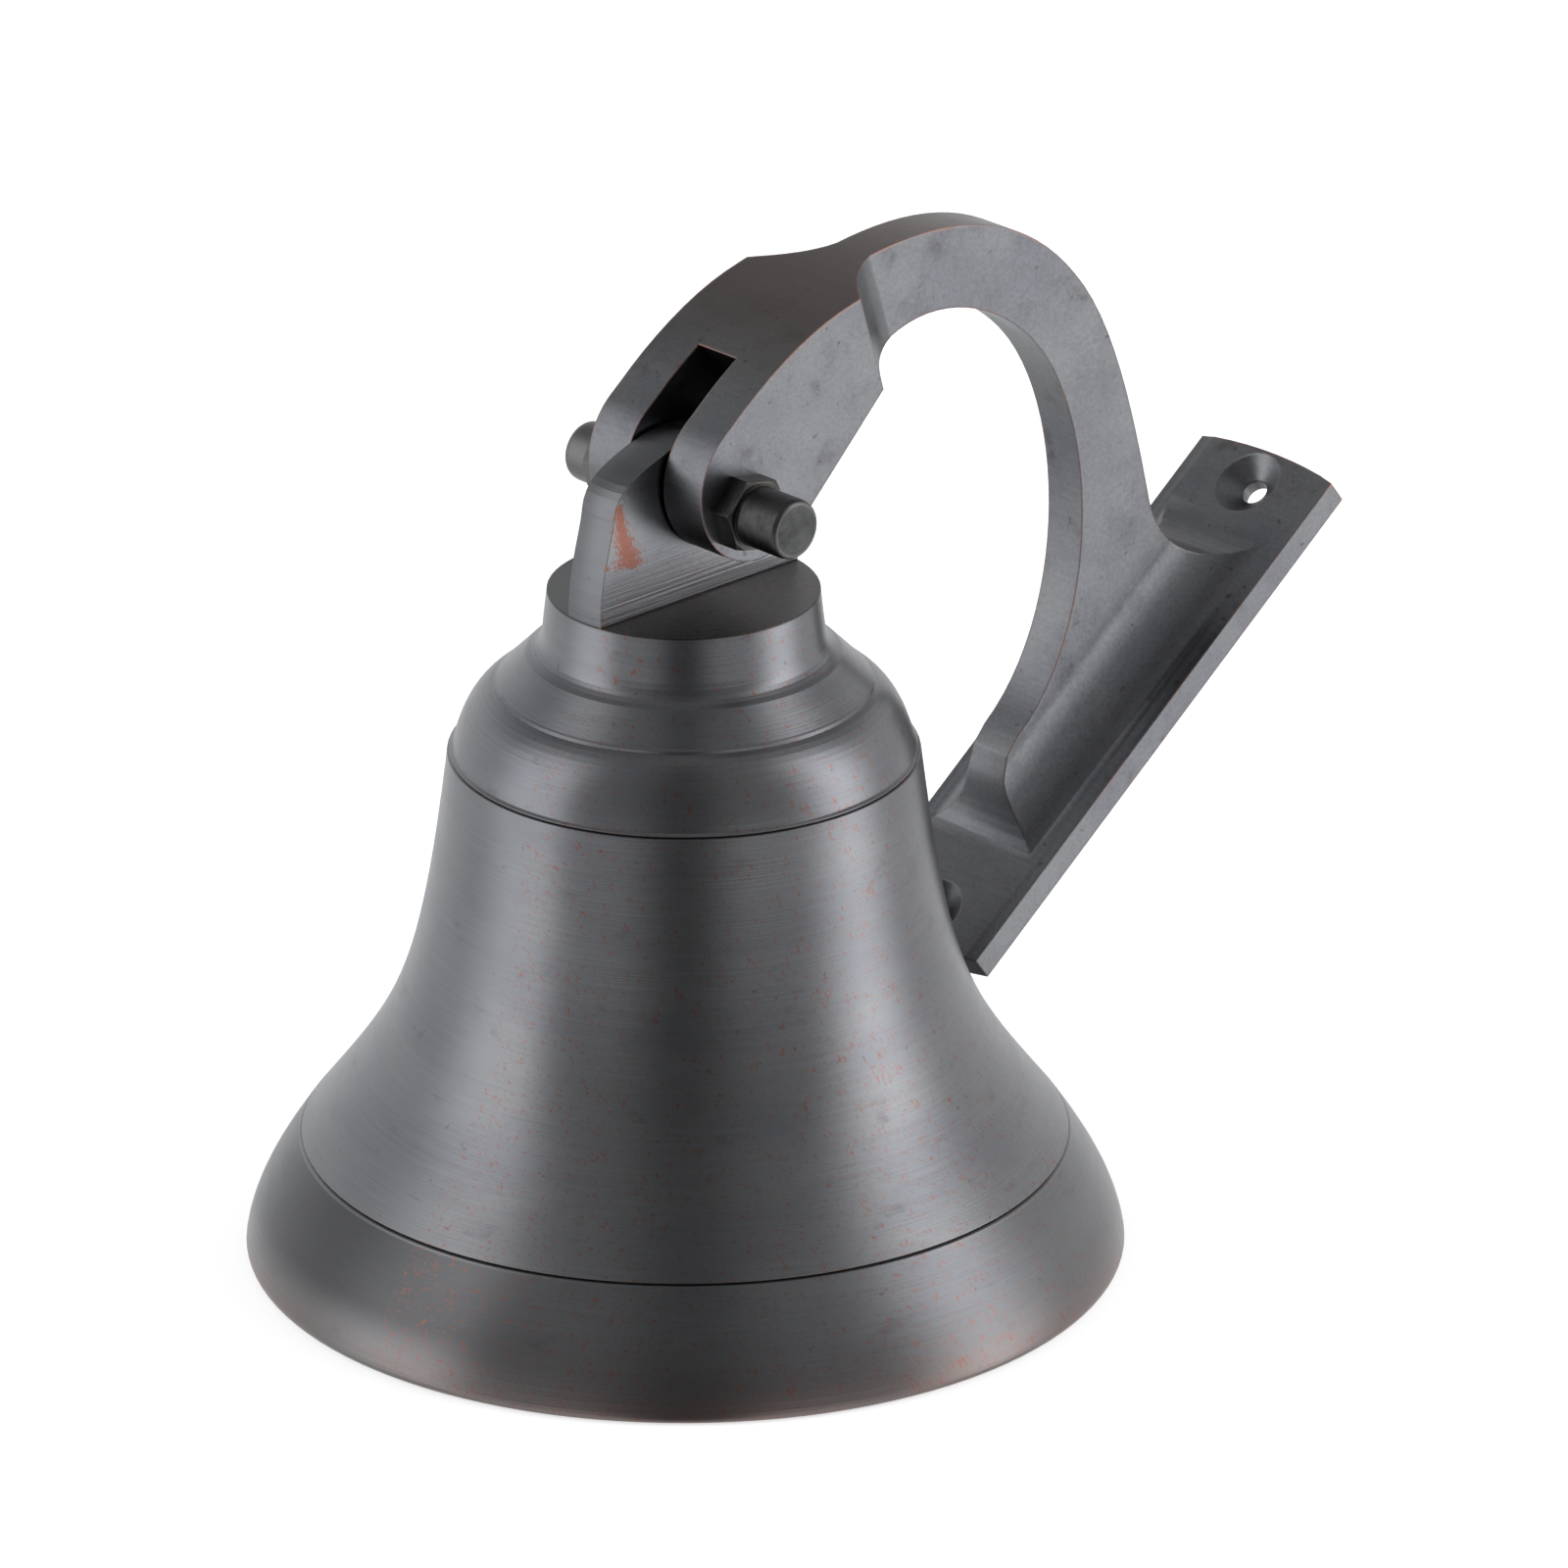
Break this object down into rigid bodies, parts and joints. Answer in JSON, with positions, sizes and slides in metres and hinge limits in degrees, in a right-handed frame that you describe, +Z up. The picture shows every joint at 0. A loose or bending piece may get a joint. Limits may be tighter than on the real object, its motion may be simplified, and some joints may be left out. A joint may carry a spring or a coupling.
{
  "type": "yard dinner bell",
  "caption": "Cast dinner bell hung by its lug in the fork of a curved wall bracket, with a clapper on a staple and link; the bell stands on its mouth and the bracket leans back on it.",
  "frame": {"origin": "centre of the bell's mouth, in the plane of its rim", "axes": "+Z up the bell's axis, +X towards the wall plate, +Y along the pivot bolt"},
  "size_m": [0.222, 0.1524, 0.174],
  "materials": {
    "bell_patina": "dark oil-rubbed patina, brushed round the axis, satin",
    "bracket_patina": "dark oil-rubbed patina, copper-brown wear on the edges, satin",
    "dark_fastener": "near-black patina, satin",
    "plain_brass": "dull cast brass",
    "clapper_metal": "dark patina with worn striking band"
  },
  "bodies": {
    "bell": {"bell": "bell_patina", "clapper_staple": "plain_brass", "staple_nut": "plain_brass"},
    "bracket": {"bracket": "bracket_patina", "pivot_bolt": "dark_fastener", "cap_nut_front": "dark_fastener", "cap_nut_rear": "dark_fastener"},
    "link": {"clapper_link": "plain_brass"},
    "clapper": {"clapper_rod": "plain_brass", "clapper_ball": "clapper_metal", "clapper_tail": "clapper_metal"}
  },
  "joints": [
    {"name": "bracket_pivot", "type": "hinge", "parent": "bell", "child": "bracket", "pos_m": [0, 0, 0.1404], "axis": [0, -1, 0], "range_deg": [0, 110]},
    {"name": "clapper_swing", "type": "hinge", "parent": "bell", "child": "link", "pos_m": [0, 0, 0.086], "axis": [0, 1, 0], "range_deg": [-34, 34]},
    {"name": "clapper_sway", "type": "hinge", "parent": "link", "child": "clapper", "pos_m": [0, 0, 0.077], "axis": [1, 0, 0], "range_deg": [-14, 14]}
  ]
}
